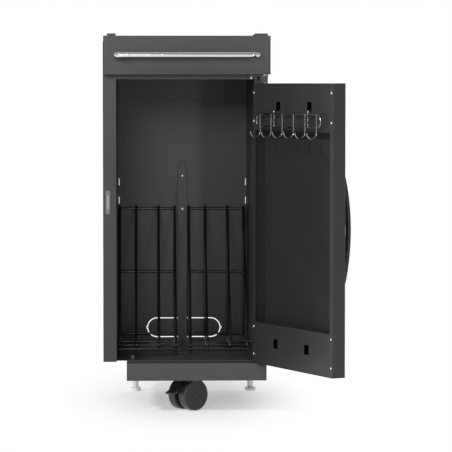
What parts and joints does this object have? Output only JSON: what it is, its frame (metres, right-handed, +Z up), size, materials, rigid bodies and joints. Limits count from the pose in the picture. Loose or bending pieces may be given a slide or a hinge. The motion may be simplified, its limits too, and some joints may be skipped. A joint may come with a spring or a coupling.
{
  "type": "outdoor kitchen storage cabinet",
  "caption": "Narrow black steel outdoor-kitchen cabinet, door open, with towel bar, hook rack, wire tray dividers, hose port, plinth and a braked caster.",
  "frame": {"origin": "on the floor under the cabinet's centreline, at the front face of the stiles", "axes": "+X to the right seen from the front, -Y out of the front, +Z up"},
  "size_m": [0.5688, 0.8659, 0.906],
  "materials": {
    "powder_coat": "satin black powder coat",
    "polished_steel": "polished stainless steel",
    "zinc": "bright zinc plate",
    "black_wire": "gloss black coated wire",
    "dark_chrome": "dark chrome wire",
    "black_nylon": "black moulded nylon",
    "tread": "black tread",
    "handle_plastic": "satin black handle",
    "natural_nylon": "natural nylon glide",
    "dark_housing": "black catch housing"
  },
  "bodies": {
    "cabinet": {"left_side_panel": "powder_coat", "right_side_panel": "powder_coat", "left_inner_liner": "powder_coat", "right_inner_liner": "powder_coat", "back_panel": "powder_coat", "hose_port_cover": "powder_coat", "back_stiffener": "powder_coat", "back_rivets": "zinc", "floor_pan": "powder_coat", "plinth": "powder_coat", "front_top_rail": "powder_coat", "rear_top_rail": "powder_coat", "ceiling_liner": "powder_coat", "top_deck": "powder_coat", "fascia_panel": "powder_coat", "corner_gusset": "powder_coat", "towel_bar": "polished_steel", "towel_bar_screws": "zinc", "hinge_top_bracket": "powder_coat", "hinge_bottom_bracket": "powder_coat", "hinge_pins": "zinc", "hinge_screws": "zinc", "catch_housing": "dark_housing", "catch_pole_plate": "zinc", "catch_screws": "zinc", "door_stop_clip": "powder_coat", "rack_centre_bracket": "powder_coat", "rack_back_clip": "powder_coat", "body_screws": "powder_coat", "caster_channel": "powder_coat", "foot_channel": "powder_coat", "foot_posts": "zinc", "foot_pads": "natural_nylon", "caster_plate": "zinc"},
    "door": {"door_shell": "powder_coat", "door_upper_plate": "powder_coat", "door_lower_plate": "powder_coat", "door_rivets": "zinc", "door_handle": "handle_plastic", "handle_screws": "zinc", "door_bushes": "zinc"},
    "hook_rack": {"hook_ring": "dark_chrome", "hook_wires": "dark_chrome", "hook_hangers": "dark_chrome"},
    "left_rack": {"left_rack_dividers": "black_wire", "left_rack_cross_wires": "black_wire", "left_rack_pins": "black_wire"},
    "right_rack": {"right_rack_dividers": "black_wire", "right_rack_cross_wires": "black_wire", "right_rack_pins": "black_wire"},
    "caster_body": {"caster_hood": "black_nylon", "caster_axle": "zinc", "brake_pin": "zinc"},
    "near_wheel": {"near_wheel_core": "black_nylon", "near_wheel_tyre": "tread"},
    "far_wheel": {"far_wheel_core": "black_nylon", "far_wheel_tyre": "tread"},
    "brake": {"brake_lever": "black_nylon"}
  },
  "joints": [
    {"name": "door_swing", "type": "hinge", "parent": "cabinet", "child": "door", "pos_m": [0.188, -0.028, 0.454], "axis": [0, 0, 1], "range_deg": [-115, 10]},
    {"name": "hook_rack_lift", "type": "slide", "parent": "door", "child": "hook_rack", "axis": [0, 0, 1], "range_m": [0, 0.016]},
    {"name": "left_rack_tilt", "type": "hinge", "parent": "cabinet", "child": "left_rack", "pos_m": [-0.09, 0.185, 0.152], "axis": [1, 0, 0], "range_deg": [0, 40]},
    {"name": "right_rack_tilt", "type": "hinge", "parent": "cabinet", "child": "right_rack", "pos_m": [0.086, 0.185, 0.152], "axis": [1, 0, 0], "range_deg": [0, 40]},
    {"name": "caster_swivel", "type": "hinge", "parent": "cabinet", "child": "caster_body", "pos_m": [0.026, 0.056, 0.09], "axis": [0, 0, 1], "continuous": true},
    {"name": "near_wheel_spin", "type": "hinge", "parent": "caster_body", "child": "near_wheel", "pos_m": [0.00657, 0.04027, 0.0375], "axis": [-0.6293, 0.7771, 0], "continuous": true},
    {"name": "far_wheel_spin", "type": "hinge", "parent": "caster_body", "child": "far_wheel", "pos_m": [0.00657, 0.04027, 0.0375], "axis": [-0.6293, 0.7771, 0], "continuous": true},
    {"name": "brake_press", "type": "hinge", "parent": "caster_body", "child": "brake", "pos_m": [-0.01325, 0.02422, 0.0595], "axis": [0.6293, -0.7771, 0], "range_deg": [0, 3], "stiffness_Nm_per_rad": 0.4, "springref_deg": -17.19}
  ]
}
